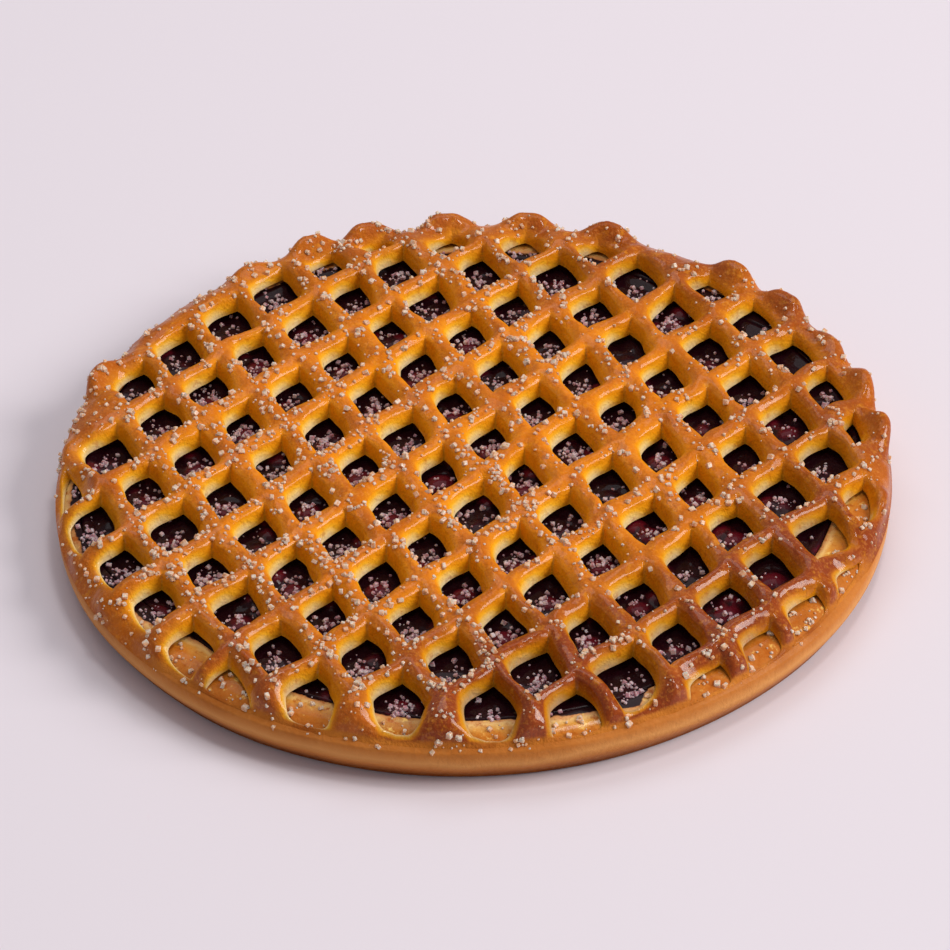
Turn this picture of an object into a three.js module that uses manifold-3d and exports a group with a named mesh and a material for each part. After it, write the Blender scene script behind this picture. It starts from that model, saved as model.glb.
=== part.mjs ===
// A round cherry pie in three pieces of its own: a shallow base of yeast dough with a rolled rim,
// a cherry filling that reaches unevenly into it, and a lattice lid of slit and stretched dough that
// is draped over the rim and strewn with coarse sugar. Units are millimetres, +Z is up, and the
// origin is the centre of the flat underside.
import * as THREE from 'three';
import Module from 'manifold-3d';
import { mergeVertices } from 'three/addons/utils/BufferGeometryUtils.js';

// Base: a dish of dough whose side leans out and rolls over into a round shoulder
const FOOT_RADIUS = 134.4;      // where the side meets the table
const FOOT_ROUNDING = 1.6;
const BELLY_RADIUS = 137.0;     // half way up the side
const BELLY_HEIGHT = 7.5;
const FLOOR_THICKNESS = 4.0;
const RIM_TOP = 17.0;           // level of the rim's flat top, and of the filling beside it
const SHOULDER_START = 127.5;   // radius where the rim begins to roll down
const SHOULDER_RADIUS = 15.5;   // of that roll, seen in section
const SHOULDER_TURN = 42;       // degrees that it turns before it meets the side
const BASE_SEGMENTS = 80;

// Filling: spread unevenly towards the rim. Azimuths in degrees, each with the distance from the
// centre that the filling reaches there.
const FILLING_REACH = [
  [-170, 130.5], [-139, 121.5], [-120, 124], [-90, 126.5], [-72, 126.5], [-45, 121], [-18, 121],
  [8, 130], [30, 127], [50, 120.5], [65, 123.5], [90, 125], [113, 127.5], [150, 129.5],
];
const FILLING_RADIUS = 126.5;   // on the average
const FILLING_WALL_LEAN = 4.0;  // the dish's inner wall is this much narrower at its foot
const NODE_GAP = 0.3;           // air between neighbouring pieces
const FILLING_SEGMENTS = 64;
const CHERRY_RADIUS = 10.0;
const CHERRY_SHOWN = 1.15;      // height of the part of a cherry that stands out of the jelly
const CHERRY_SIDES = 6;
const CHERRY_SHARE = 0.72;      // of the openings show one that is not covered by jelly

// Lattice: rows of staggered slits pulled open across their length
const CROSS_PITCH = 27.9;       // between neighbouring openings in a row
const SLIT_PITCH = 37.9;        // between openings in line, end to end
const CROSS_ANGLE = -9.2;       // degrees from +X of the row direction
const SLIT_ANGLE = 82.3;        // degrees from +X of the slit direction
const FIRST_OPENING = [6.5, 9.1];
const ROWS = 8;                 // rows counted each way from the first one
const COLUMNS = 7;
const CREST_HALF_WIDTH = 9.0;   // half the opening across, at the top of the strands
const CREST_HALF_LENGTH = 14.0;
const FOOT_HALF_WIDTH = 7.0;    // the same at the bottom of the strands
const FOOT_HALF_LENGTH = 11.6;
const OPENING_SKEW = 1.5;       // the left corner sits higher than the right one by twice this
// Each quarter of an opening's outline has a roundness, above 1 where its side corner is round, and
// a sharpness at the foot and at the crest, above 1 where its tip narrows to a slit. Opposite
// quarters are alike, which gives the outline its slight twist.
const FULL_QUARTER = { roundness: 1.6, sharpness: [0.85, 1.08] };
const HOLLOW_QUARTER = { roundness: 1.5, sharpness: [1.15, 1.38] };
const PLACE_JITTER = 0.7;
const SIZE_JITTER = 0.07;
const EDGE_WIDENING = 0.16;     // openings near the rim are this much wider
const WIDENING_SPAN = [80, 120]; // distances from the centre where that begins and is full
const POINTS_PER_QUARTER = 2;
const LID_CLEARANCE = 1.3;      // from the rim's top up to the underside of the lid
const STRAND_THICKNESS = 6.9;
const CREST_SHARE = 0.84;       // of that thickness is reached at an opening's edge
const FLANK_LEVEL = 0.35;       // a ring between the foot and the crest of an opening's wall
const FLANK_SHARE = 0.58;
const LOW_STRAND = 3.6;         // thickness of a strand where it lies over the rim
const LOWERING_SPAN = [123, 137]; // distances from the centre where it gets thinner
const FRONT_LIMIT = 138.0;      // no opening reaches further out than this in front
const BACK_LIMIT = 131.6;       // nor than this at the back, where the edge stands up behind it
const FOOT_INSET = 1.2;         // the foot of a strand keeps this much more from the edge
const LIMIT_SOFTNESS = 3.0;
const SMALLEST_ROOM = 0.36;     // share of an opening that must fit inside the rim
const SIDE_SQUEEZE = 0.6;
const LID_SEGMENTS = 108;
const LID_OUTLINE = 139.0;      // last loop before the trimmed edge
const RIM_LOOPS = [[128.5, 72], [131.6, 72], [134.6, 72], [136.9, 72]];
const ARCH_LOOPS = [[133.9, 128], [136.4, 128]];
const ARCH_LOOPS_FROM = 133;    // in their part of the rim they take the place of loops beyond this
const RIM_LOOP_MARGIN = 1.7;
const RIDGE_MARGIN = 2.4;       // strand middles closer than this to an edge are left out
const LID_END = 139.8;          // along the draped surface, where the lid was trimmed
const END_THICKNESS = 0.8;
const END_TAPER = 4.5;          // width of the strip that thins down to the trimmed edge

// The trimmed edge stands up in arches behind the outermost openings, at the back of the pie
const ARCH_RISE = 8.0;
const ARCH_CENTRE = 134.0;
const ARCH_WIDTH = 3.6;
const ARCH_HALF_WIDTH = 9.0;    // measured along the rim
const ARCH_FACES = 80;          // azimuth, in degrees, of the middle of the raised part
const ARCH_SPAN = [-0.3, 0.15]; // cosines of the turn from there where it begins and is full
const NEARNESS = 4.0;           // openings that end this much short of the limit raise no arch
const BAND_THICKNESS = 1.5;     // of the edge in front, between the strands
const BACK_BAND_THICKNESS = 2.4;
const GAP_SPAN = [124, 131];    // distances from the centre where the strands pass into that edge

// The outline of the whole pie is a little out of round
const OVAL = 0.004;
const LEAN = 0.004;
const LEAN_TOWARDS = -20;

// Coarse sugar on the lid and in the openings
const SUGAR_SIZES = [2.1, 2.9];
const LID_CRYSTALS = 64;
const FILLING_CRYSTALS = 26;
const CRYSTAL_SPACING = 15;     // least distance between two on the lid
const CRYSTAL_REACH = 5.4;      // those in an opening lie this far from its middle
const SUGAR_SINK = 0.35;        // share of a crystal that is sunk in

const rad = THREE.MathUtils.degToRad;

// A repeatable number from 0 to 1 for three whole numbers
function draw(a, b, c) {
  const v = Math.sin(a * 127.1 + b * 311.7 + c * 74.7) * 43758.5453;
  return v - Math.floor(v);
}

function smooth(low, high, v) {
  const t = Math.min(1, Math.max(0, (v - low) / (high - low)));
  return t * t * (3 - 2 * t);
}

// How much a direction from the centre belongs to the back, from 0 to 1
function backness(theta) {
  return smooth(ARCH_SPAN[0], ARCH_SPAN[1], Math.cos(theta - rad(ARCH_FACES)));
}

// How far out an opening may reach. level is 0 at the strands' foot and 1 at their top.
function openingLimit(x, y, level) {
  const crest = THREE.MathUtils.lerp(FRONT_LIMIT, BACK_LIMIT, backness(Math.atan2(y, x)));
  return crest - FOOT_INSET * (1 - level);
}

function dot([ax, ay], [bx, by]) {
  return ax * bx + ay * by;
}

function unit(angle) {
  return [Math.cos(rad(angle)), Math.sin(rad(angle))];
}

// Distance from the centre to the filling's edge, eased from each listed azimuth to the next
function fillingReach(theta) {
  const azimuth = THREE.MathUtils.euclideanModulo(THREE.MathUtils.radToDeg(theta) + 180, 360) - 180;
  const count = FILLING_REACH.length;
  const next = FILLING_REACH.findIndex(([a]) => a > azimuth);
  const [endAngle, end] = FILLING_REACH[Math.max(next, 0)];
  const [startAngle, start] = FILLING_REACH[(Math.max(next, 0) + count - 1) % count];
  const full = THREE.MathUtils.euclideanModulo(endAngle - startAngle, 360);
  const turned = THREE.MathUtils.euclideanModulo(azimuth - startAngle, 360);
  return THREE.MathUtils.lerp(start, end, smooth(0, full, turned));
}

// A closed solid from a list of points and a list of triangles
function solidFrom(wasm, points, triangles) {
  let geometry = new THREE.BufferGeometry();
  geometry.setAttribute('position', new THREE.Float32BufferAttribute(points.flat(), 3));
  geometry.setIndex(triangles.flat());
  geometry = mergeVertices(geometry, 1e-4);
  return new wasm.Manifold(new wasm.Mesh({
    numProp: 3,
    vertProperties: new Float32Array(geometry.attributes.position.array),
    triVerts: new Uint32Array(geometry.index.array),
  }));
}

function solidFromGeometry(wasm, source) {
  const geometry = source.clone();
  geometry.deleteAttribute('normal');
  geometry.deleteAttribute('uv');
  const merged = mergeVertices(geometry, 1e-4);
  return new wasm.Manifold(new wasm.Mesh({
    numProp: 3,
    vertProperties: new Float32Array(merged.attributes.position.array),
    triVerts: new Uint32Array(merged.index.array),
  }));
}

function meshFrom(solid, name, material) {
  const mesh = solid.getMesh();
  const geometry = new THREE.BufferGeometry();
  geometry.setAttribute('position', new THREE.Float32BufferAttribute(mesh.vertProperties, 3));
  geometry.setIndex(Array.from(mesh.triVerts));
  geometry.computeVertexNormals();
  const made = new THREE.Mesh(geometry, material);
  made.name = name;
  return made;
}

// Moves a point of the round model to its place on the slightly oval pie
function outOfRound([x, y, z]) {
  const theta = Math.atan2(y, x);
  const k = 1 + OVAL * Math.cos(2 * theta) + LEAN * Math.cos(theta - rad(LEAN_TOWARDS));
  return [x * k, y * k, z];
}

// The lid's underside: flat, then rolled down over the rim's shoulder. rho is measured along it.
function shoulder(rho, lift) {
  const radius = SHOULDER_RADIUS + lift;
  const turn = Math.max(0, rho - SHOULDER_START) / (SHOULDER_RADIUS + LID_CLEARANCE);
  const flat = Math.min(rho, SHOULDER_START);
  return [flat + radius * Math.sin(turn), RIM_TOP - SHOULDER_RADIUS + radius * Math.cos(turn)];
}

function drape(x, y, height) {
  const rho = Math.hypot(x, y);
  const [r, z] = shoulder(rho, LID_CLEARANCE + height);
  const k = rho > 1e-9 ? r / rho : 1;
  return outOfRound([x * k, y * k, z]);
}

// Openings of the lattice: centre, size factor and number, in the flat sheet of dough
function makeOpenings() {
  const cross = unit(CROSS_ANGLE).map((v) => v * CROSS_PITCH);
  const slit = unit(SLIT_ANGLE).map((v) => v * SLIT_PITCH);
  const found = [];
  for (let row = -ROWS; row <= ROWS; row += 1) {
    const stagger = Math.abs(row % 2) / 2;
    for (let column = -COLUMNS; column <= COLUMNS; column += 1) {
      let x = FIRST_OPENING[0] + (column + stagger) * cross[0] + (row / 2) * slit[0];
      let y = FIRST_OPENING[1] + (column + stagger) * cross[1] + (row / 2) * slit[1];
      x += (draw(row, column, 1) - 0.5) * 2 * PLACE_JITTER;
      y += (draw(row, column, 2) - 0.5) * 2 * PLACE_JITTER;
      const rho = Math.hypot(x, y);
      const size = 1 + (draw(row, column, 3) - 0.5) * 2 * SIZE_JITTER;
      const wide = size * (1 + EDGE_WIDENING * smooth(...WIDENING_SPAN, rho));
      const outward = [x / rho, y / rho];
      const reach = Math.hypot(
        CREST_HALF_LENGTH * size * dot(outward, unit(SLIT_ANGLE)),
        CREST_HALF_WIDTH * wide * dot(outward, unit(CROSS_ANGLE)),
      );
      const room = (openingLimit(x, y, 1) - rho + reach) / (2 * reach);
      if (room < SMALLEST_ROOM) continue;
      // In front the rim cuts openings off bluntly, and at the back they are pressed together
      const squeeze = THREE.MathUtils.lerp(1, Math.min(1, room), backness(Math.atan2(y, x)));
      found.push({ x, y, size, wide, outward, reach, squeeze, whole: room >= 1 });
    }
  }
  return found;
}

// Keeps a point inside the openings' limit without a kink
function holdInside([x, y], level) {
  const limit = openingLimit(x, y, level);
  const rho = Math.hypot(x, y);
  const start = limit - LIMIT_SOFTNESS;
  if (rho <= start) return [x, y];
  const kept = limit - LIMIT_SOFTNESS * Math.exp(-(rho - start) / LIMIT_SOFTNESS);
  return [x * kept / rho, y * kept / rho];
}

// Where a point beside an opening's middle comes to lie: openings that would run over the rim at
// the back are pressed together from outside, and a little from the sides too
function squeezed({ x, y, outward, reach, squeeze }, offset) {
  const sideways = [-outward[1], outward[0]];
  const out = (dot(offset, outward) + reach) * squeeze - reach;
  const side = dot(offset, sideways) * (1 - SIDE_SQUEEZE * (1 - squeeze));
  return [x + outward[0] * out + sideways[0] * side, y + outward[1] * out + sideways[1] * side];
}

// One closed outline of an opening, counter-clockwise. level is 0 at the strands' foot and 1 at
// their top.
function openingRing(opening, level) {
  const across = unit(CROSS_ANGLE);
  const along = unit(SLIT_ANGLE);
  const halfWidth = THREE.MathUtils.lerp(FOOT_HALF_WIDTH, CREST_HALF_WIDTH, level) * opening.wide;
  const halfLength = THREE.MathUtils.lerp(FOOT_HALF_LENGTH, CREST_HALF_LENGTH, level) * opening.size;
  const ring = [];
  for (let quarter = 0; quarter < 4; quarter += 1) {
    const { roundness, sharpness } = quarter % 2 ? HOLLOW_QUARTER : FULL_QUARTER;
    const tip = THREE.MathUtils.lerp(sharpness[0], sharpness[1], level);
    for (let step = 0; step < POINTS_PER_QUARTER; step += 1) {
      const s = step / POINTS_PER_QUARTER;
      const t = quarter % 2 ? 1 - s : s;
      const w = (1 - t ** roundness) ** tip;
      const u = (quarter === 0 || quarter === 3 ? w : -w) * halfWidth;
      const v = (quarter < 2 ? t : -t) * halfLength - OPENING_SKEW * u / halfWidth;
      const offset = [across[0] * u + along[0] * v, across[1] * u + along[1] * v];
      ring.push(holdInside(squeezed(opening, offset), level));
    }
  }
  return ring;
}

// How far a direction from the centre lies behind one of the outermost openings, from 0 to 1
function behindOpening(openings, theta) {
  let most = 0;
  for (const o of openings) {
    const edge = smooth(BACK_LIMIT - NEARNESS, BACK_LIMIT + NEARNESS, Math.hypot(o.x, o.y) + o.reach);
    if (edge === 0) continue;
    let turn = theta - Math.atan2(o.y, o.x);
    turn -= 2 * Math.PI * Math.round(turn / (2 * Math.PI));
    most = Math.max(most, edge * Math.exp(-((turn * BACK_LIMIT / ARCH_HALF_WIDTH) ** 2)));
  }
  return most;
}

// Thickness of the lid at a point of the flat sheet
function makeThickness(openings) {
  return ([x, y]) => {
    const rho = Math.hypot(x, y);
    const theta = Math.atan2(y, x);
    const drop = smooth(...LOWERING_SPAN, rho);
    const end = smooth(LID_END - END_TAPER, LID_END, rho);
    const strand = THREE.MathUtils.lerp(STRAND_THICKNESS, LOW_STRAND, drop);
    const gap = behindOpening(openings, theta) * smooth(...GAP_SPAN, rho);
    const back = backness(theta);
    const arch = ARCH_RISE * back * Math.exp(-(((rho - ARCH_CENTRE) / ARCH_WIDTH) ** 2));
    const edge = THREE.MathUtils.lerp(BAND_THICKNESS, BACK_BAND_THICKNESS, back) + arch;
    return THREE.MathUtils.lerp(THREE.MathUtils.lerp(strand, edge, gap), END_THICKNESS, end);
  };
}

function circleLoop(radius, count, shift = 0) {
  return Array.from({ length: count }, (_, i) => {
    const theta = 2 * Math.PI * (i + shift) / count;
    return [radius * Math.cos(theta), radius * Math.sin(theta)];
  });
}

// Triangles between two loops of equal length; the first is the outer or upper one
function bridge(triangles, first, second, count) {
  for (let i = 0; i < count; i += 1) {
    const j = (i + 1) % count;
    triangles.push([first + i, first + j, second + j], [first + i, second + j, second + i]);
  }
}

// Middle of every strand and of every place where four strands meet, clear of the openings
function ridgePoints(crests) {
  const cross = unit(CROSS_ANGLE).map((v) => v * CROSS_PITCH);
  const slit = unit(SLIT_ANGLE).map((v) => v * SLIT_PITCH);
  const found = [];
  for (let row = -2 * ROWS; row <= 2 * ROWS; row += 1) {
    for (let column = -4 * COLUMNS; column <= 4 * COLUMNS; column += 1) {
      const stagger = Math.abs(row) % 2 ? 0.25 : 0;
      const meeting = stagger === 0 && (row / 2 + column) % 2 !== 0;
      if (stagger === 0 && !meeting) continue;
      const k = stagger + column / 2;
      const x = FIRST_OPENING[0] + k * cross[0] + (row / 4) * slit[0];
      const y = FIRST_OPENING[1] + k * cross[1] + (row / 4) * slit[1];
      if (Math.hypot(x, y) > RIM_LOOPS[0][0] - RIDGE_MARGIN) continue;
      if (clearOf(crests, [x, y], RIDGE_MARGIN)) found.push([x, y]);
    }
  }
  return found;
}

// Points on a few circles over the rim, so that the lid follows the rim's roll and its arches
function rimPoints(rings, arched) {
  const shifted = ([radius, count], k) => circleLoop(radius, count, (k + 1) / (RIM_LOOPS.length + 1));
  const raised = ([x, y]) => arched && backness(Math.atan2(y, x)) > 0.02;
  const plain = RIM_LOOPS.flatMap(shifted).filter((p) => Math.hypot(...p) < ARCH_LOOPS_FROM || !raised(p));
  const fine = ARCH_LOOPS.flatMap(shifted).filter(raised);
  return [...plain, ...fine].filter((p) => clearOf(rings, p, RIM_LOOP_MARGIN));
}

function clearOf(rings, [x, y], margin) {
  const near = rings.flat().some((p) => Math.hypot(p[0] - x, p[1] - y) < margin);
  return !near && !rings.some((ring) => insideRing(ring, x, y));
}

function insideRing(ring, x, y) {
  let inside = false;
  ring.forEach(([ax, ay], i) => {
    const [bx, by] = ring[(i + 1) % ring.length];
    if ((ay > y) !== (by > y) && x < ax + (bx - ax) * (y - ay) / (by - ay)) inside = !inside;
  });
  return inside;
}

// Twice the area of a triangle in the flat sheet, positive when it runs counter-clockwise
function turnOf([ax, ay], [bx, by], [cx, cy]) {
  return (bx - ax) * (cy - ay) - (cx - ax) * (by - ay);
}

function inCircle([ax, ay], [bx, by], [cx, cy], [dx, dy]) {
  const [ux, uy, vx, vy, wx, wy] = [ax - dx, ay - dy, bx - dx, by - dy, cx - dx, cy - dy];
  const [u, v, w] = [ux * ux + uy * uy, vx * vx + vy * vy, wx * wx + wy * wy];
  return ux * (vy * w - v * wy) - uy * (vx * w - v * wx) + u * (vx * wy - vy * wx) > 1e-6;
}

// Swaps the shared edges of neighbouring triangles until none is needlessly thin
function relax(flat, faces) {
  const count = flat.length;
  const owner = new Map();
  const claim = (a, b, k) => owner.set(a * count + b, k);
  faces.forEach(([a, b, c], k) => {
    claim(a, b, k);
    claim(b, c, k);
    claim(c, a, k);
  });
  const queue = [...owner.keys()];
  while (queue.length > 0) {
    const edge = queue.pop();
    const a = Math.floor(edge / count);
    const b = edge % count;
    const p = owner.get(a * count + b);
    const q = owner.get(b * count + a);
    if (p === undefined || q === undefined) continue;
    const c = faces[p].find((v) => v !== a && v !== b);
    const d = faces[q].find((v) => v !== a && v !== b);
    const [pa, pb, pc, pd] = [a, b, c, d].map((v) => flat[v]);
    if (!inCircle(pa, pb, pc, pd)) continue;
    if (turnOf(pa, pd, pc) < 1e-3 || turnOf(pd, pb, pc) < 1e-3) continue;
    owner.delete(a * count + b);
    owner.delete(b * count + a);
    faces[p] = [a, d, c];
    faces[q] = [d, b, c];
    claim(a, d, p);
    claim(d, c, p);
    claim(c, a, p);
    claim(d, b, q);
    claim(b, c, q);
    claim(c, d, q);
    queue.push(a * count + d, d * count + b, b * count + c, c * count + a);
  }
}

// Triangles between the first loop, which is the outer one, and the rest. A loop of one is a point.
function fillBetween(loops, starts, up) {
  const [outer, ...inner] = loops.map((loop) => loop.map(([x, y]) => new THREE.Vector2(x, y)));
  const flat = loops.flat();
  const index = loops.flatMap((loop, k) => loop.map((_, i) => starts[k] + i));
  let faces = THREE.ShapeUtils.triangulateShape(outer, inner);
  const area = faces.reduce((sum, [a, b, c]) => sum + turnOf(flat[a], flat[b], flat[c]), 0);
  if (area < 0) faces = faces.map(([a, b, c]) => [a, c, b]);
  relax(flat, faces);
  return faces.map(([a, b, c]) => (up ? [a, b, c] : [a, c, b]).map((v) => index[v]));
}

// The lid without its sugar, and the triangles of its top for placing the sugar
function makeLattice(wasm, openings) {
  const thickness = makeThickness(openings);
  const points = [];
  const triangles = [];
  const addLoop = (loop, lift) => {
    const start = points.length;
    loop.forEach((p) => points.push(drape(p[0], p[1], lift(p))));
    return start;
  };
  // Walls of each opening: crest, flank and foot
  const crests = openings.map((o) => openingRing(o, 1));
  const feet = openings.map((o) => openingRing(o, 0));
  const crestStarts = crests.map((ring) => addLoop(ring, (p) => CREST_SHARE * thickness(p)));
  const footStarts = feet.map((ring) => addLoop(ring, () => 0));
  openings.forEach((o, i) => {
    const ring = openingRing(o, FLANK_LEVEL);
    const middle = addLoop(ring, (p) => FLANK_SHARE * thickness(p));
    bridge(triangles, crestStarts[i], middle, ring.length);
    bridge(triangles, middle, footStarts[i], ring.length);
  });
  const outline = circleLoop(LID_OUTLINE, LID_SEGMENTS);
  const ridge = [...ridgePoints(crests), ...rimPoints(crests, true)];
  const loops = [outline, circleLoop(LID_END, LID_SEGMENTS)];
  const starts = loops.map((loop) => addLoop(loop, thickness));
  const ridgeStarts = ridge.map((p) => addLoop([p], thickness));
  const top = fillBetween(
    [outline, ...crests, ...ridge.map((p) => [p])],
    [starts[0], ...crestStarts, ...ridgeStarts],
    true,
  );
  triangles.push(...top);
  bridge(triangles, starts[1], starts[0], LID_SEGMENTS);
  const underEdge = addLoop(loops[1], () => 0);
  bridge(triangles, underEdge, starts[1], LID_SEGMENTS);
  const under = rimPoints(feet, false);
  const underStarts = under.map((p) => addLoop([p], () => 0));
  triangles.push(...fillBetween(
    [loops[1], ...feet, ...under.map((p) => [p])],
    [underEdge, ...footStarts, ...underStarts],
    false,
  ));
  return { solid: solidFrom(wasm, points, triangles), points, top };
}

// A sugar crystal: a small block at a random angle
function crystal(wasm, place, seed) {
  const [small, large] = SUGAR_SIZES;
  const size = [4, 5, 6].map((k) => small + (large - small) * draw(seed, k, 9));
  const block = new THREE.BoxGeometry(...size);
  const turn = new THREE.Euler(draw(seed, 7, 9) * 0.5, draw(seed, 8, 9) * 0.5, draw(seed, 9, 9) * Math.PI);
  block.applyMatrix4(new THREE.Matrix4().makeRotationFromEuler(turn));
  block.translate(place.x, place.y, place.z + size[2] * (0.5 - SUGAR_SINK));
  return solidFromGeometry(wasm, block);
}

// Places for the crystals on the lid: spread by area over the triangles of its top, and kept apart
function lidPlaces(points, top) {
  const corners = top.map((t) => t.map((i) => new THREE.Vector3(...points[i])));
  const areas = corners.map(([a, b, c]) => new THREE.Triangle(a, b, c).getArea());
  const total = areas.reduce((sum, a) => sum + a, 0);
  const places = [];
  for (let n = 0; places.length < LID_CRYSTALS && n < 40 * LID_CRYSTALS; n += 1) {
    let left = draw(n, 11, 5) * total;
    const k = areas.findIndex((a) => (left -= a) <= 0);
    let u = draw(n, 12, 5);
    let v = draw(n, 13, 5);
    if (u + v > 1) [u, v] = [1 - u, 1 - v];
    const [a, b, c] = corners[k];
    const place = a.clone().lerp(b, u).add(c.clone().sub(a).multiplyScalar(v));
    if (places.every((p) => p.distanceTo(place) > CRYSTAL_SPACING)) places.push(place);
  }
  return places;
}

// The base: turned outside, with the dish for the filling cut out of it
function makeBase(wasm) {
  const profile = [
    [0, 0],
    [FOOT_RADIUS - FOOT_ROUNDING, 0],
    [FOOT_RADIUS, FOOT_ROUNDING],
    [BELLY_RADIUS, BELLY_HEIGHT],
  ];
  const shoulderSteps = 4;
  for (let i = shoulderSteps; i >= 0; i -= 1) {
    const turn = rad(SHOULDER_TURN) * i / shoulderSteps;
    profile.push([
      SHOULDER_START + SHOULDER_RADIUS * Math.sin(turn),
      RIM_TOP - SHOULDER_RADIUS + SHOULDER_RADIUS * Math.cos(turn),
    ]);
  }
  profile.push([0, RIM_TOP]);
  const points = profile.map(([r, z]) => new THREE.Vector2(r, z));
  const turned = new THREE.LatheGeometry(points, BASE_SEGMENTS);
  turned.rotateX(Math.PI / 2);
  const place = turned.attributes.position;
  for (let i = 0; i < place.count; i += 1) {
    place.setXYZ(i, ...outOfRound([place.getX(i), place.getY(i), place.getZ(i)]));
  }
  const body = solidFromGeometry(wasm, turned);
  return body.subtract(fillingBlock(wasm, 0, RIM_TOP + 1));
}

// The space of the filling, shrunk by gap, from the dish's floor up to top
function fillingBlock(wasm, gap, top) {
  const height = top - FLOOR_THICKNESS - gap;
  const lean = FILLING_WALL_LEAN / (RIM_TOP - FLOOR_THICKNESS);
  const foot = FILLING_RADIUS - FILLING_WALL_LEAN - gap;
  const block = new THREE.CylinderGeometry(foot + lean * height, foot, height, FILLING_SEGMENTS);
  block.rotateX(Math.PI / 2);
  block.translate(0, 0, FLOOR_THICKNESS + gap + height / 2);
  const place = block.attributes.position;
  for (let i = 0; i < place.count; i += 1) {
    const k = fillingReach(Math.atan2(place.getY(i), place.getX(i))) / FILLING_RADIUS;
    place.setXY(i, place.getX(i) * k, place.getY(i) * k);
  }
  return solidFromGeometry(wasm, block);
}

// The cap of a cherry that stands out of the jelly
function cherry(wasm, x, y, radius, seed) {
  const capRadius = Math.sqrt(radius ** 2 - (radius - CHERRY_SHOWN) ** 2);
  const shape = [
    [0, -1],
    [capRadius, -1],
    [capRadius, 0],
    [capRadius * 0.62, CHERRY_SHOWN * 0.72],
    [0, CHERRY_SHOWN],
  ].map(([r, z]) => new THREE.Vector2(r, z));
  const dome = new THREE.LatheGeometry(shape, CHERRY_SIDES);
  dome.rotateX(Math.PI / 2);
  dome.rotateZ(draw(seed, 21, 3) * Math.PI);
  dome.translate(x, y, RIM_TOP);
  return solidFromGeometry(wasm, dome);
}

function inFilling(x, y, margin) {
  return Math.hypot(x, y) < fillingReach(Math.atan2(y, x)) - margin;
}

function makeFilling(wasm, openings) {
  const along = unit(SLIT_ANGLE);
  const pieces = [fillingBlock(wasm, NODE_GAP, RIM_TOP)];
  const shown = openings.filter((o) => o.whole && inFilling(o.x, o.y, 9));
  shown.forEach((o, i) => {
    if (draw(i, 35, 3) > CHERRY_SHARE) return;
    const shift = (draw(i, 31, 3) - 0.5) * 3;
    const radius = CHERRY_RADIUS * (0.86 + 0.2 * draw(i, 32, 3));
    pieces.push(cherry(wasm, o.x + along[0] * shift, o.y + along[1] * shift, radius, i));
  });
  const sugared = shown.filter((o, i) => draw(i, 33, 3) < FILLING_CRYSTALS / shown.length);
  sugared.forEach((o, i) => {
    const end = draw(i, 34, 3) < 0.5 ? -1 : 1;
    const reach = end * CRYSTAL_REACH;
    const place = new THREE.Vector3(o.x + along[0] * reach, o.y + along[1] * reach, RIM_TOP);
    pieces.push(crystal(wasm, place, i));
  });
  return wasm.Manifold.union(pieces);
}

const wasm = await Module();
wasm.setup();

const openings = makeOpenings();
const lattice = makeLattice(wasm, openings);
const crystals = lidPlaces(lattice.points, lattice.top).map((p, i) => crystal(wasm, p, i + 100));

const crustMaterial = new THREE.MeshStandardMaterial({ color: 0xb9763a, roughness: 0.7, metalness: 0 });
const glazedMaterial = new THREE.MeshStandardMaterial({ color: 0xc07a22, roughness: 0.35, metalness: 0 });
const fillingMaterial = new THREE.MeshStandardMaterial({ color: 0x2a0710, roughness: 0.15, metalness: 0 });

const pie = new THREE.Group();
pie.add(meshFrom(makeBase(wasm), 'base_crust', crustMaterial));
pie.add(meshFrom(makeFilling(wasm, openings), 'cherry_filling', fillingMaterial));
pie.add(meshFrom(wasm.Manifold.union([lattice.solid, ...crystals]), 'lattice_lid', glazedMaterial));

export default pie;
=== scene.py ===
"""A round cherry pie with a slit lattice lid, dressed for a close studio view.

The base, the filling and the lid are built again in fine meshes from the same sizes as the solids
that they stand for, in millimetres, and are put into the scene in metres.
"""

import math

import bpy
import numpy as np
from mathutils import Matrix, Vector, geometry, kdtree


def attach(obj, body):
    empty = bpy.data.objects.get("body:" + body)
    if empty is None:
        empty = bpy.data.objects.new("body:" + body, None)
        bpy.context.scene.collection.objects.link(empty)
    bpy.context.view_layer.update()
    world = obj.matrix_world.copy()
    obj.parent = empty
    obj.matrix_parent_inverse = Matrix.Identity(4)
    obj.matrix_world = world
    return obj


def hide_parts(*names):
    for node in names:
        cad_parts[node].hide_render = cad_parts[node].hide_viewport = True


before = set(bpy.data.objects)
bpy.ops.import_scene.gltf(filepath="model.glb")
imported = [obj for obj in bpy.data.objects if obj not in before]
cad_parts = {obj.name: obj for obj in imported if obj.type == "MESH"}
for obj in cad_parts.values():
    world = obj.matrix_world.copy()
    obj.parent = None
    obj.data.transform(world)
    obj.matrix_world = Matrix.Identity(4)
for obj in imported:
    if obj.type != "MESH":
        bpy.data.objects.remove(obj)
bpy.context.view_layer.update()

MM = 0.001

# Base of the pie
FOOT_RADIUS = 134.4
FOOT_ROUNDING = 1.6
BELLY_RADIUS = 137.0
BELLY_HEIGHT = 7.5
UNDERSIDE_RING = 60.0  # radius of a ring of points under the base
FLOOR_THICKNESS = 4.0
RIM_TOP = 17.0
SHOULDER_START = 127.5
SHOULDER_RADIUS = 15.5
SHOULDER_TURN = 42.0
SIDE_BULGE = 0.9
SIDE_WAVE = (120, 60, 8, 0.35)  # radius it is taken at, length, seed and height
INNER_SLOPE = 4.0  # the inside of the base slopes in this far between the rim and the floor
NODE_GAP = 0.3  # air between two pieces that touch in the pie
BRIM = 0.1  # the rim stays this far outside the filling's reach
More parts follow.
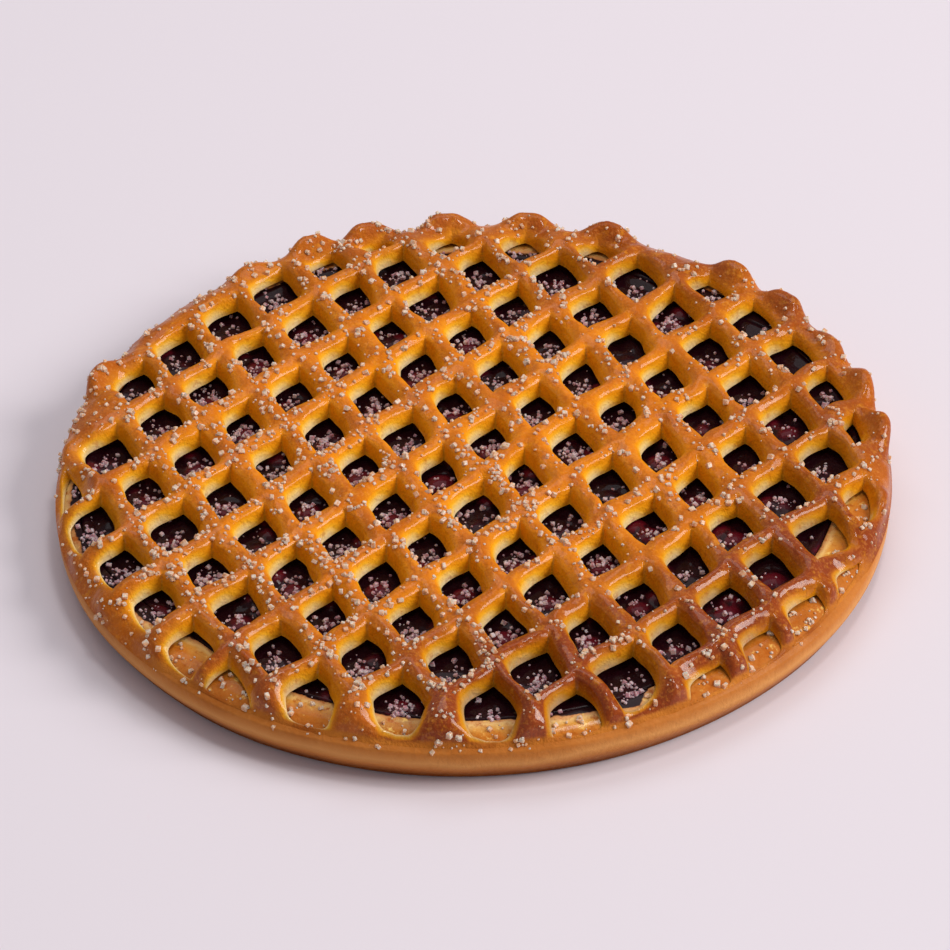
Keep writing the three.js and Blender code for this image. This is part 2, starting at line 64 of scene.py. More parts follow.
# Azimuths in degrees, each with how far the filling reaches there
FILLING_REACH = [
    (-170, 130.5),
    (-139, 121.5),
    (-120, 124.0),
    (-90, 126.5),
    (-72, 126.5),
    (-45, 121.0),
    (-18, 121.0),
    (8, 130.0),
    (30, 127.0),
    (50, 120.5),
    (65, 123.5),
    (90, 125.0),
    (113, 127.5),
    (150, 129.5),
]

# The same for the juice that has run over the rim, where it went beyond the filling
JUICE_REACH = [
    (-176, 133.0),
    (-158, 132.0),
    (-148, 128.5),
    (-141, 126.0),
    (-137, 119.0),
    (-126, 119.0),
    (-121, 124.5),
    (-90, 126.5),
    (-77, 128.5),
    (-68, 131.0),
    (-63, 119.0),
    (-22, 119.0),
    (8, 131.0),
    (150, 119.0),
]

# Lattice of slit dough
CROSS_PITCH = 27.9
SLIT_PITCH = 37.9
CROSS_ANGLE = -9.2
SLIT_ANGLE = 82.3
FIRST_OPENING = (6.5, 9.1)
ROWS = 8  # each way from the first opening, as are the columns
COLUMNS = 7
CREST_HALF_WIDTH = 9.0
CREST_HALF_LENGTH = 14.0
FOOT_HALF_WIDTH = 7.0
FOOT_HALF_LENGTH = 11.6
OPENING_SKEW = 1.5
# Opposite quarters of an opening's outline are alike, two full and two hollow: sharpness at foot and crest
FULL_ROUNDNESS = 1.6
FULL_SHARPNESS = (0.85, 1.08)
HOLLOW_ROUNDNESS = 1.5
HOLLOW_SHARPNESS = (1.15, 1.38)
BLUNT_SHARPNESS = 0.3  # of the outer corners of the openings that end at the front of the rim
BLUNT_FROM = (126, 131)  # an opening's outer end, from the centre, where that begins and is full
BLUNT_FACING = (0.75, 0.95)  # cosines between its way out and its slit where that begins and is full
BLUNT_CORNER = 0.8  # the corner's place, as a share of the opening's half length
BLUNT_CLEARANCE = (14, 17)  # from the corner to the next opening where that begins and is full
PLACE_JITTER = 0.7
SIZE_JITTER = 0.07
EDGE_WIDENING = 0.16
WIDENING_SPAN = (80, 120)  # distances from the centre where that begins and is full
LID_CLEARANCE = 1.3
STRAND_THICKNESS = 6.9
HALF_STRAND = 4.6  # from an opening's edge to where a strand's top is level
LOW_STRAND = 4.2
LOW_SPAN = (123, 137)  # distances from the centre where a strand begins to thin out to that and is there
FRONT_LIMIT = 138.0
BACK_LIMIT = 131.6
FOOT_INSET = 1.2
LIMIT_SOFTNESS = 3.0
SMALLEST_ROOM = 0.36
SIDE_SQUEEZE = 0.6
CLEARANCE_SPAN = (129, 138)  # the lid comes down to the rim over this stretch
LID_END = 139.8
END_THICKNESS = 0.8
END_SPAN = 4.5
FEET_SPAN = (132.5, 137.5)  # in front the strands come down to the rim over this stretch
SEAM_THICKNESS = 0.2  # of the lid beyond their feet
SEAM_SINK = 0.9  # the lid's edge there is pressed this deep into the base
SINK_START = 137.0
SEAM_SPAN = (134.5, 137.2)  # the colours of the lid and the base meet over this stretch
FRONT_MIDDLE = -82.0  # azimuth of the middle of the stretch where the lid passes into the base
FRONT_SPAN = (0.35, 0.7)  # cosines of the turn from there where that begins and is full
ARCH_RISE = 8.0
ARCH_CENTRE = 134.0
ARCH_WIDTH = 3.6
ARCH_HALF_WIDTH = 8.2
ARCH_SQUARENESS = 2.8
ARCH_EASE = 4.0  # an arch grows as its opening's end goes from this far inside BACK_LIMIT to beyond it
ARCH_FACES = 80.0  # azimuth of the middle of the stretch with arches
ARCH_SPAN = (-0.3, 0.15)  # cosines of the turn from there where the arches begin and are full
BAND_SPAN = (124, 131)  # the band behind the openings begins over this stretch
BAND_THICKNESS = 0.9
BACK_BAND_THICKNESS = 2.4
# How far the sheet is pulled out of its pattern: length, two seeds and distance
PULLS = [(34, (61, 62), 1.0), (12, (63, 64), 0.42)]
PULL_SPAN = (133, 118)  # distances from the centre where that begins and is full
OVAL = 0.004  # share of the radius by which the pie is oval, and then larger on one side
LEAN = 0.004
LEAN_TOWARDS = -20.0
TRIM = 0.9972  # keeps the finer outline inside the flat-sided solids' box

# Surface of the lid
TOP_WAVES = [(14, 3, 0.42), (5, 4, 0.16)]  # length, seed and height
WAVES_START = 2.5  # distance from an opening where they are full
WAVES_END = 5.0  # distance from the lid's edge where they end
EDGE_BROWNING = 0.75  # how brown it is at an opening, where bare dough is 0 and the top is 1
BROWNING_WIDTH = 2.2
BARE_FALL = 1.5  # above 1 the wall is pale from close under its edge
SHADED_WALL_SIDE = 35.0  # azimuth of the side of each opening whose wall gets painted shade, as that wall faces away from the key light
SHADED_WALL_SPAN = (-0.1, 0.9)  # cosines of the turn from there where that painted shade begins and is full
SHADE_FOOT_LOSS = 0.28  # how much less brown the painted shade on that wall is at its foot

# Surface of the filling
JELLY_LEVEL = 15.9
JELLY_WAVES = [(16, 11, 0.35), (6, 12, 0.25), (3, 13, 0.12)]  # length, seed and height
JELLY_TOP = 18.0
JELLY_EDGE = 16.85
JELLY_EDGE_SPAN = (0.965, 0.99)  # shares of the filling's reach where its edge begins and is level
CHERRIES = 3  # under each opening, of which the first lies near the middle
FIRST_SPREAD = (3, 0)
CHERRY_SPREAD = (30, 26)
CHERRY_RADIUS = 7.0
CHERRY_GROWTH = 2.4
CHERRY_TOP = 16.2
CHERRY_RISE = 1.7
SKIN_DEPTH = 1.2  # a cherry has its full colour this high above the jelly

# Fineness of the meshes
RING_POINTS = 64
WALL_LEVELS = 9
WALL_START = math.radians(38)  # slope of a strand's rounded top where its wall begins
SHEET_STEP = 1.0
ROW_SPACING = 0.866  # of a step, for triangles with nearly equal sides
SHEET_JITTER = 0.12
EDGE_MARGIN = 0.6
OPENING_MARGIN = 0.5
EDGE_POINTS = 760
ROUND_POINTS = 420  # round the base and the filling
FOOT_RINGS = 5
SIDE_RINGS = 13
SHOULDER_RINGS = 24
INNER_RINGS = 4
FILLING_RINGS = 100

SMALLEST = 1e-9  # in place of a distance of nothing
SAME_PLACE = 1e-7  # points closer than this are one

rng = np.random.default_rng(20)


SCATTER = (127.1, 311.7, 74.7)  # any uneven numbers: they only scatter the draws
SCATTER_SCALE = 43758.5453


def draw(a, b, c):
    """A repeatable number from 0 to 1 for three whole numbers, which keep the draws apart."""
    v = math.sin(a * SCATTER[0] + b * SCATTER[1] + c * SCATTER[2]) * SCATTER_SCALE
    return v - math.floor(v)


def smooth(low, high, v):
    t = np.clip((np.asarray(v, float) - low) / (high - low), 0.0, 1.0)
    return t * t * (3.0 - 2.0 * t)


def lerp(a, b, t):
    return a + (b - a) * t


def unit(angle):
    return np.array([math.cos(math.radians(angle)), math.sin(math.radians(angle))])


ACROSS = unit(CROSS_ANGLE)
ALONG = unit(SLIT_ANGLE)

PLANE_WAVES = 24
WAVE_LENGTHS = (0.7, 1.6)  # as shares of the length asked for


def waves(p, scale, seed):
    """Smooth unevenness from a sum of plane waves of about the given length, roughly -1 to 1."""
    r = np.random.default_rng(seed)
    total = np.zeros(len(p))
    for _ in range(PLANE_WAVES):
        turn = r.uniform(0, 2 * math.pi)
        length = scale * r.uniform(*WAVE_LENGTHS)
        phase = r.uniform(0, 2 * math.pi)
        k = 2 * math.pi / length
        total += np.sin(k * (p[:, 0] * math.cos(turn) + p[:, 1] * math.sin(turn)) + phase)
    return total / math.sqrt(PLANE_WAVES / 2) / 2


def uneven_level(p, level, parts):
    """A level with waves of several lengths, each given by its length, seed and height."""
    for length, seed, height in parts:
        level = level + waves(p, length, seed) * height
    return level


def backness(theta):
    """From 0 to 1 where the lid's edge stands up in arches."""
    return smooth(*ARCH_SPAN, np.cos(theta - math.radians(ARCH_FACES)))


def frontness(theta):
    """From 0 to 1 where the lid passes into the base."""
    return smooth(*FRONT_SPAN, np.cos(theta - math.radians(FRONT_MIDDLE)))


def eased(table, theta):
    """A distance that is eased from each listed azimuth to the next."""
    azimuth = np.degrees(theta)
    found = np.zeros(len(azimuth))
    for k, (start, reach) in enumerate(table):
        end, further = table[(k + 1) % len(table)]
        full = (end - start) % 360
        past = (azimuth - start) % 360
        inside = past < full
        found[inside] = lerp(reach, further, smooth(0, full, past[inside]))
    return found


def filling_reach(theta):
    return eased(FILLING_REACH, theta)


def dark_reach(theta):
    """How far the filling or its juice reaches."""
    return np.maximum(filling_reach(theta), eased(JUICE_REACH, theta))


def opening_limit(p, level):
    """How far from the centre an opening may end: level is 0 at a wall's foot and 1 at its crest."""
    crest = lerp(FRONT_LIMIT, BACK_LIMIT, backness(np.arctan2(p[:, 1], p[:, 0])))
    return crest - FOOT_INSET * (1 - level)


def make_openings():
    """The slits of a staggered pattern that have enough room inside the rim."""
    found = []
    for row in range(-ROWS, ROWS + 1):
        stagger = (abs(row) % 2) / 2
        for column in range(-COLUMNS, COLUMNS + 1):
            p = np.array(FIRST_OPENING, float)
            p = p + (column + stagger) * CROSS_PITCH * ACROSS + row / 2 * SLIT_PITCH * ALONG
            p[0] += (draw(row, column, 1) - 0.5) * 2 * PLACE_JITTER
            p[1] += (draw(row, column, 2) - 0.5) * 2 * PLACE_JITTER
            rho = math.hypot(*p)
            size = 1 + (draw(row, column, 3) - 0.5) * 2 * SIZE_JITTER
            wide = size * (1 + EDGE_WIDENING * float(smooth(*WIDENING_SPAN, rho)))
            outward = p / rho
            reach = math.hypot(
                CREST_HALF_LENGTH * size * float(outward @ ALONG),
                CREST_HALF_WIDTH * wide * float(outward @ ACROSS),
            )
            room = (float(opening_limit(p[None], 1)[0]) - rho + reach) / (2 * reach)
            if room < SMALLEST_ROOM:
                continue
            back = float(backness(math.atan2(p[1], p[0])))
            found.append(
                {
                    "at": p,
                    "size": size,
                    "wide": wide,
                    "outward": outward,
                    "reach": reach,
                    "squeeze": lerp(1.0, min(1.0, room), back),
                    "whole": room >= 1,
                }
            )
    for o in found:
        o["blunt"] = [bluntness(o, side, found) for side in (-1, 1)]
    return found


def bluntness(o, side, others):
    """How blunt an opening's outer corner is: side is -1 for the left one and 1 for the right one."""
    front = float(smooth(*BLUNT_FACING, -o["outward"] @ ALONG))
    end = float(smooth(*BLUNT_FROM, math.hypot(*o["at"]) + o["reach"]))
    corner = o["at"] - ALONG * CREST_HALF_LENGTH * BLUNT_CORNER + ACROSS * side * CREST_HALF_WIDTH
    apart = min(math.hypot(*(corner - other["at"])) for other in others if other is not o)
    return front * end * float(smooth(*BLUNT_CLEARANCE, apart))


def hold_inside(p, level):
    """Points beyond the limit are pressed together just inside it."""
    limit = opening_limit(p, level)
    rho = np.hypot(p[:, 0], p[:, 1])
    start = limit - LIMIT_SOFTNESS
    kept = limit - LIMIT_SOFTNESS * np.exp(-(rho - start) / LIMIT_SOFTNESS)
    return p * np.where(rho > start, kept / rho, 1.0)[:, None]


def opening_ring(o, level):
    """One closed outline of an opening, counter-clockwise, in the flat sheet."""
    half_width = lerp(FOOT_HALF_WIDTH, CREST_HALF_WIDTH, level) * o["wide"]
    half_length = lerp(FOOT_HALF_LENGTH, CREST_HALF_LENGTH, level) * o["size"]
    step = np.arange(RING_POINTS) / (RING_POINTS // 4)
    quarter = np.floor(step).astype(int)
    s = step - quarter
    hollow = quarter % 2 == 1
    t = np.where(hollow, 1 - s, s)
    roundness = np.where(hollow, HOLLOW_ROUNDNESS, FULL_ROUNDNESS)
    tip = np.where(hollow, lerp(*HOLLOW_SHARPNESS, level), lerp(*FULL_SHARPNESS, level))
    tip = np.where(quarter == 2, lerp(tip, BLUNT_SHARPNESS, o["blunt"][0]), tip)
    tip = np.where(quarter == 3, lerp(tip, BLUNT_SHARPNESS, o["blunt"][1]), tip)
    w = (1 - t**roundness) ** tip
    u = np.where((quarter == 0) | (quarter == 3), w, -w) * half_width
    v = np.where(quarter < 2, t, -t) * half_length - OPENING_SKEW * u / half_width
    offset = u[:, None] * ACROSS + v[:, None] * ALONG
    sideways = np.array([-o["outward"][1], o["outward"][0]])
    out = (offset @ o["outward"] + o["reach"]) * o["squeeze"] - o["reach"]
    side = offset @ sideways * (1 - SIDE_SQUEEZE * (1 - o["squeeze"]))
    return hold_inside(o["at"] + out[:, None] * o["outward"] + side[:, None] * sideways, level)


def behind_opening(theta):
    """From 0 to 1 where an azimuth lies behind an opening that ends at the rim."""
    most = np.zeros(len(theta))
    for o in openings:
        end = math.hypot(*o["at"]) + o["reach"]
        edge = float(smooth(BACK_LIMIT - ARCH_EASE, BACK_LIMIT + ARCH_EASE, end))
        if edge == 0:
            continue
        turn = theta - math.atan2(o["at"][1], o["at"][0])
        turn -= 2 * math.pi * np.round(turn / (2 * math.pi))
        aside = np.abs(turn * BACK_LIMIT / ARCH_HALF_WIDTH)
        most = np.maximum(most, edge * np.exp(-(aside**ARCH_SQUARENESS)))
    return most


def thickness(p):
    """Full thickness of the lid at points of the flat sheet."""
    rho = np.hypot(p[:, 0], p[:, 1])
    theta = np.arctan2(p[:, 1], p[:, 0])
    strand = lerp(STRAND_THICKNESS, LOW_STRAND, smooth(*LOW_SPAN, rho))
    gap = behind_opening(theta) * smooth(*BAND_SPAN, rho)
    back = backness(theta)
    arch = ARCH_RISE * back * np.exp(-(((rho - ARCH_CENTRE) / ARCH_WIDTH) ** 2))
    edge = lerp(BAND_THICKNESS, BACK_BAND_THICKNESS, back) + arch
    thick = lerp(strand, edge, gap)
    raised = lerp(thick, END_THICKNESS, smooth(LID_END - END_SPAN, LID_END, rho))
    merged = lerp(thick, SEAM_THICKNESS, smooth(*FEET_SPAN, rho))
    return lerp(raised, merged, frontness(theta))


def out_of_round(x, y, z):
    """Places on the pie, which is a little oval and larger on one side, of places on a round one."""
    theta = np.arctan2(y, x)
    k = TRIM + OVAL * np.cos(2 * theta) + LEAN * np.cos(theta - math.radians(LEAN_TOWARDS))
    return np.stack([x * k, y * k, z], axis=1)


def pulled(p):
    """The sheet is pulled a little out of its regular pattern, and not at its edge."""
    hold = smooth(*PULL_SPAN, np.hypot(p[:, 0], p[:, 1]))
    shift = 0.0
    for length, seeds, far in PULLS:
        shift = shift + np.stack([waves(p, length, seed) for seed in seeds], axis=1) * far
    return p + shift * hold[:, None]


def drape(p, height):
    """Places of points of the flat sheet, height above the lid's underside, over the rim."""
    p = pulled(p)
    rho = np.hypot(p[:, 0], p[:, 1])
    turn = np.maximum(0, rho - SHOULDER_START) / (SHOULDER_RADIUS + LID_CLEARANCE)
    clearance = lerp(LID_CLEARANCE, 0.0, smooth(*CLEARANCE_SPAN, rho))
    radius = SHOULDER_RADIUS + clearance + height
    r = np.minimum(rho, SHOULDER_START) + radius * np.sin(turn)
    z = RIM_TOP - SHOULDER_RADIUS + radius * np.cos(turn)
    k = r / np.maximum(rho, SMALLEST)
    return out_of_round(p[:, 0] * k, p[:, 1] * k, z)


def inside_ring(ring, p):
    """Which points lie inside a closed outline."""
    inside = np.zeros(len(p), bool)
    a, b = ring, np.roll(ring, -1, axis=0)
    for (ax, ay), (bx, by) in zip(a, b):
        if ay == by:
            continue
        crosses = ((ay > p[:, 1]) != (by > p[:, 1])) & (
            p[:, 0] < ax + (bx - ax) * (p[:, 1] - ay) / (by - ay)
        )
        inside ^= crosses
    return inside


def in_openings(rings, p):
    """Which points lie inside one of the outlines."""
    inside = np.zeros(len(p), bool)
    for ring in rings:
        middle = ring.mean(axis=0)
        reach = np.hypot(*(ring - middle).T).max()
        near = np.where(np.hypot(*(p - middle).T) < reach)[0]
        inside[near] |= inside_ring(ring, p[near])
    return inside


def circle(radius, count):
    theta = 2 * math.pi * np.arange(count) / count
    return np.stack([radius * np.cos(theta), radius * np.sin(theta)], axis=1)


def nearest(points, queries):
    """Distance from each query to the closest of points, in the flat sheet."""
    tree = kdtree.KDTree(len(points))
    for i, (x, y) in enumerate(points):
        tree.insert((x, y, 0), i)
    tree.balance()
    return np.array([tree.find((x, y, 0))[2] for x, y in queries])


def triangles_between(outline, rings, inner):
    """Delaunay triangles of the sheet between an outline and its openings."""
    loops = [outline, *rings]
    points = np.concatenate([*loops, inner])
    edges, start = [], 0
    for loop in loops:
        edges += [(start + i, start + (i + 1) % len(loop)) for i in range(len(loop))]
        start += len(loop)
    verts = [Vector((float(x), float(y))) for x, y in points]
    out, _, faces, origin, _, _ = geometry.delaunay_2d_cdt(verts, edges, [], 0, SAME_PLACE, True)
    back = np.array([o[0] if o else -1 for o in origin])
    tri = back[np.array(faces)]
    middle = points[tri].mean(axis=1)
    keep = ~in_openings(rings, middle) & (tri >= 0).all(axis=1) & inside_ring(outline, middle)
    tri = tri[keep]
    a, b, c = points[tri[:, 0]], points[tri[:, 1]], points[tri[:, 2]]
    area = (b - a)[:, 0] * (c - a)[:, 1] - (b - a)[:, 1] * (c - a)[:, 0]
    tri[area < 0] = tri[area < 0][:, ::-1]
    return points, tri


def bridge(first, second, count):
    """Faces between two closed rings of points, each given by its first point."""
    i = np.arange(count)
    j = (i + 1) % count
    return np.stack([first + i, first + j, second + j, second + i], axis=1)


def make_object(name, points, faces, attributes=None, rounded=True):
    """An object from places in millimetres, with one number a point for each attribute."""
    mesh = bpy.data.meshes.new(name)
    mesh.from_pydata((points * MM).tolist(), [], [list(map(int, f)) for f in faces])
    for key, values in (attributes or {}).items():
        layer = mesh.attributes.new(key, "FLOAT", "POINT")
        layer.data.foreach_set("value", np.asarray(values, np.float32))
    mesh.validate()
    if rounded:
        mesh.shade_smooth()
    made = bpy.data.objects.new(name, mesh)
    bpy.context.scene.collection.objects.link(made)
    return made


openings = make_openings()


# Lid

def crest_share(distance):
    """Share of the thickness beside an opening: a strand's section is half an ellipse."""
    t = np.clip(distance / HALF_STRAND, 0, 1)
    return np.sqrt(1 - (math.sin(WALL_START) * (1 - t)) ** 2)


def merging(p):
    """How far the lid has passed into the base at a point of the sheet, from 0 to 1."""
    rho = np.hypot(p[:, 0], p[:, 1])
    return smooth(*SEAM_SPAN, rho) * frontness(np.arctan2(p[:, 1], p[:, 0]))


def sheet_grid(crests):
    """Points of a nearly regular grid over the sheet, clear of its edge and openings."""
    rows = np.arange(-LID_END, LID_END, SHEET_STEP * ROW_SPACING)
    columns = np.arange(-LID_END, LID_END, SHEET_STEP)
    grid = np.array([(x + (k % 2) * SHEET_STEP / 2, y) for k, y in enumerate(rows) for x in columns])
    grid += rng.uniform(-SHEET_JITTER, SHEET_JITTER, grid.shape)
    grid = grid[np.hypot(grid[:, 0], grid[:, 1]) < LID_END - EDGE_MARGIN]
    grid = grid[~in_openings(crests, grid)]
    return grid[nearest(np.concatenate(crests), grid) > OPENING_MARGIN]


def top_height(points, distance):
    """Height of the sheet's top above its underside, by the distance to the nearest opening."""
    rho = np.hypot(*points.T)
    height = thickness(points) * crest_share(distance)
    fading = smooth(0, WAVES_START, distance) * smooth(LID_END, LID_END - WAVES_END, rho)
    height += uneven_level(points, 0.0, TOP_WAVES) * fading
    height -= SEAM_SINK * smooth(SINK_START, LID_END, rho) * merging(points)
    return height


def make_lid():
    """The top of the sheet and the walls of its openings, which end at the lid's underside."""
    crests = [opening_ring(o, 1) for o in openings]
    edge = circle(LID_END, EDGE_POINTS)
    rim = np.concatenate(crests)
    points, tri = triangles_between(edge, crests, sheet_grid(crests))
    distance = nearest(rim, points)
    distance[len(edge):len(edge) + len(rim)] = 0
    height = top_height(points, distance)
    place = [drape(points, height)]
    browning_and_shade = [EDGE_BROWNING + (1 - EDGE_BROWNING) * smooth(0, BROWNING_WIDTH, distance)]
    seam = [merging(points)]
    faces = list(tri)
    total = len(points)
    start = len(edge)
    for o, ring in zip(openings, crests):
        upper = start
        side = ring - ring.mean(axis=0)
        # Painted shade: the walls on the side of each opening away from the key light stay browner than
        # the bare dough of the other walls, a little less so towards their foot.
        shaded_wall = smooth(*SHADED_WALL_SPAN, side @ unit(SHADED_WALL_SIDE) / np.hypot(*side.T))
        for k in range(1, WALL_LEVELS + 1):
            down = k / WALL_LEVELS
            turn = lerp(WALL_START, math.pi / 2, down)
            level = (1 - math.sin(turn)) / (1 - math.sin(WALL_START))
            lower_ring = opening_ring(o, level)
            h = thickness(lower_ring) * math.cos(turn)
            place.append(drape(lower_ring, h))
            bare = EDGE_BROWNING * (1 - down) ** BARE_FALL
            brown = EDGE_BROWNING - SHADE_FOOT_LOSS * down**2
            browning_and_shade.append(lerp(bare, brown, shaded_wall))
            seam.append(merging(lower_ring))
            faces += list(bridge(upper, total, len(ring)))
            upper = total
            total += len(ring)
        start += len(ring)
    # The first attribute holds the dough's browning and, on the walls away from the key light, painted
    # shade.
    lid = make_object(
        "lattice_lid_baked",
        np.concatenate(place),
        faces,
        {"browning_and_shade": np.concatenate(browning_and_shade), "seam": np.concatenate(seam)},
    )
    return lid, points, tri, drape(points, height)


lid, sheet_points, sheet_tri, sheet_place = make_lid()


# Base

def rings_object(name, rings, attributes):
    """A closed solid from a first point, rings of equal length and a last point."""
    points = np.concatenate(rings)
    count = len(rings[1])
    starts = [1 + k * count for k in range(len(rings) - 2)]
    i = np.arange(count)
    j = (i + 1) % count
    faces = [(0, b, a) for a, b in zip(starts[0] + i, starts[0] + j)]
    for a, b in zip(starts, starts[1:]):
        faces += [tuple(f) for f in bridge(a, b, count)]
    end = starts[-1] + count
    faces += [(end, a, b) for a, b in zip(starts[-1] + i, starts[-1] + j)]
    return make_object(name, out_of_round(*points.T), faces, attributes)


def level_of_rim(r):
    """Height of the rim's top at a distance from the centre."""
    over = np.maximum(0, r - SHOULDER_START)
    return RIM_TOP - SHOULDER_RADIUS + np.sqrt(SHOULDER_RADIUS**2 - over**2)


def make_base():
    """From the middle of the foot, up the side, over the rim and down to the middle of the floor."""
    around = circle(1.0, ROUND_POINTS)
    radius, length, seed, height = SIDE_WAVE
    wave = waves(around * radius, length, seed) * height
    reach = filling_reach(np.arctan2(around[:, 1], around[:, 0]))

    def ring(r, z):
        return np.column_stack([around * np.reshape(r, (-1, 1)), np.broadcast_to(z, ROUND_POINTS)])

    rings = [np.zeros((1, 3)), ring(UNDERSIDE_RING, 0.0), ring(FOOT_RADIUS - FOOT_ROUNDING, 0.0)]
    for turn in np.linspace(0, math.pi / 2, FOOT_RINGS)[1:]:
        r = FOOT_RADIUS - FOOT_ROUNDING * (1 - math.sin(turn))
        rings.append(ring(r + wave, FOOT_ROUNDING * (1 - math.cos(turn))))
    top_turn = math.radians(SHOULDER_TURN)
    side_end = SHOULDER_START + SHOULDER_RADIUS * math.sin(top_turn)
    side_top = RIM_TOP - SHOULDER_RADIUS + SHOULDER_RADIUS * math.cos(top_turn)
    for t in np.linspace(0, 1, SIDE_RINGS)[1:-1]:
        z = lerp(FOOT_ROUNDING, side_top, t)
        lean = np.interp(z, [FOOT_ROUNDING, BELLY_HEIGHT, side_top], [FOOT_RADIUS, BELLY_RADIUS, side_end])
        rings.append(ring(lean + SIDE_BULGE * math.sin(math.pi * t) + wave, z))
    inner = reach + BRIM
    for turn in np.linspace(top_turn, 0, SHOULDER_RINGS):
        r = SHOULDER_START + SHOULDER_RADIUS * math.sin(turn) + wave * turn / top_turn
        r = np.maximum(r, inner)
        rings.append(ring(r, level_of_rim(r)))
    for step in range(1, INNER_RINGS + 1):
        r = lerp(np.maximum(SHOULDER_START, inner), reach + BRIM / 2, step / INNER_RINGS)
        rings.append(ring(r, level_of_rim(r)))
    rings.append(ring(reach - INNER_SLOPE, FLOOR_THICKNESS))
    rings.append(np.array([[0.0, 0.0, FLOOR_THICKNESS]]))
    points = np.concatenate(rings)
    edge = dark_reach(np.arctan2(points[:, 1], points[:, 0]))
    beyond = np.hypot(points[:, 0], points[:, 1]) - edge
    return rings_object("base_crust_baked", rings, {"beyond": beyond})


base = make_base()


# Filling

def cherries():
    """Place, radius and top of each cherry that shows in an opening."""
    shown = [o for o in openings if o["whole"]]
    for i, o in enumerate(shown):
        for n in range(CHERRIES):
            along, across = FIRST_SPREAD if n == 0 else CHERRY_SPREAD
            at = o["at"] + ALONG * (draw(i, 40 + n, 3) - 0.5) * along
            at = at + ACROSS * (draw(i, 50 + n, 3) - 0.5) * across
            r = CHERRY_RADIUS + CHERRY_GROWTH * draw(i, 32 + n, 3)
            yield at, r, CHERRY_TOP + CHERRY_RISE * draw(i, 60 + n, 3)


def make_filling():
    """The jelly's top, out of which the cherries rise, with a sloping side and a flat foot."""
    count, rings = ROUND_POINTS, FILLING_RINGS
    around = circle(1.0, count)
    reach = filling_reach(np.arctan2(around[:, 1], around[:, 0]))[:, None] - NODE_GAP
    flat = [np.zeros((1, 2))] + [around * reach * k / rings for k in range(1, rings + 1)]
    p = np.concatenate(flat)
    share = np.concatenate([[0.0], np.repeat(np.arange(1, rings + 1) / rings, count)])
    z = uneven_level(p, JELLY_LEVEL, JELLY_WAVES)
    fruit = np.zeros(len(p))
    for at, r, top in cherries():
        d = np.hypot(*(p - at).T)
        bump = top - r + np.sqrt(np.maximum(r * r - d * d, 0))
        higher = (d < r) & (bump > z)
        fruit[higher] = np.clip((bump - z)[higher] / SKIN_DEPTH, 0, 1)
        z[higher] = bump[higher]
    z = lerp(np.minimum(z, JELLY_TOP), JELLY_EDGE, smooth(*JELLY_EDGE_SPAN, share))
    outer = 1 + (rings - 1) * count
    n = len(p)
    i = np.arange(count)
    j = (i + 1) % count
    faces = [(0, a, b) for a, b in zip(1 + i, 1 + j)]
    for k in range(rings - 1):
        faces += [tuple(f) for f in bridge(1 + (k + 1) * count, 1 + k * count, count)]
    faces += [tuple(f) for f in bridge(n, outer, count)]
    faces += [(n + count, b, a) for a, b in zip(n + i, n + j)]
    low = around * (reach - INNER_SLOPE)
    all_p = np.concatenate([p, low, np.zeros((1, 2))])
    all_z = np.concatenate([z, np.full(count + 1, FLOOR_THICKNESS + NODE_GAP)])
    fruit = np.concatenate([fruit, np.zeros(count + 1)])
    made = make_object("cherry_filling_jelly", out_of_round(*all_p.T, all_z), faces, {"fruit": fruit})
    return made, p, z


filling, filling_points, filling_z = make_filling()


# Sugar

CUBE = np.array([(x, y, z) for x in (-1, 1) for y in (-1, 1) for z in (-1, 1)], float) / 2
CUBE_FACES = [(0, 1, 3, 2), (4, 6, 7, 5), (0, 4, 5, 1), (2, 3, 7, 6), (0, 2, 6, 4), (1, 5, 7, 3)]
SMALL_ONES = 1.6  # above 1 there are more small crystals than large ones
SIDES = (0.7, 1.15)  # of a crystal, in its size
CORNER_SHIFTS = (0.78, 1.05)
WORN_EDGE = 0.22

# How many crystals there are, their sizes, how deep they sink in and how level they lie
ON_LID = 3300
IN_POCKETS = 130
LID_CRYSTALS = {"low": 0.6, "high": 2.1, "sink": 0.4, "upright": 0.45}
ON_FILLING = 4200
FILLING_CRYSTALS = {"low": 0.6, "high": 1.9, "sink": 0.42, "upright": 0.4}

# Where they lie closer together on the lid: in clusters, on the left and less so on the rim
LID_DENSITY = 0.35
LID_CLUSTERS = [(70, 21, 0.35), (12, 22, 0.6)]  # length, seed and strength
LID_LEFT = 0.6
LID_LEFT_SPAN = (110, -40)
RIM_DENSITY = 0.55
RIM_SPAN = (120, 134)
LID_LIMITS = (0.08, 2)

# The same on the filling, where each opening has a heap, and in the pockets on the rim
FILLING_DENSITY = 0.35
FILLING_LEFT = 0.65
FILLING_LEFT_SPAN = (110, 10)
FILLING_CLUSTERS = [(50, 31, 0.35)]
FILLING_LIMITS = (0.1, 2)
HEAP_ACROSS = (0, 3.4)  # middle and spread
HEAP_ALONG = (-1.5, 4.6)
POCKET_AZIMUTHS = (-150, 0)
POCKET_END = 136.5
POCKET_DEPTH = 12
POCKET_TRIES = 30
POCKET_FAVOUR = 1.5  # above 1 more lie far out
JUICE_MARGIN = 1  # from the edge of the juice, on either side of it
FILLING_MARGIN = 0.5


def turned(count, upright):
    """Random rotations; upright from 0 to 1 keeps the crystals' tops level."""
    yaw = rng.uniform(0, 2 * math.pi, count)
    tilt = rng.uniform(0, (1 - upright) * math.pi / 2, count)
    way = rng.uniform(0, 2 * math.pi, count)
    out = []
    for a, b, c in zip(yaw, tilt, way):
        ca, sa = math.cos(a), math.sin(a)
        cb, sb = math.cos(b), math.sin(b)
        cc, sc = math.cos(c), math.sin(c)
        z1 = np.array([[ca, -sa, 0], [sa, ca, 0], [0, 0, 1]])
        x1 = np.array([[1, 0, 0], [0, cb, -sb], [0, sb, cb]])
        z2 = np.array([[cc, -sc, 0], [sc, cc, 0], [0, 0, 1]])
        out.append(z2 @ x1 @ z1)
    return np.array(out)


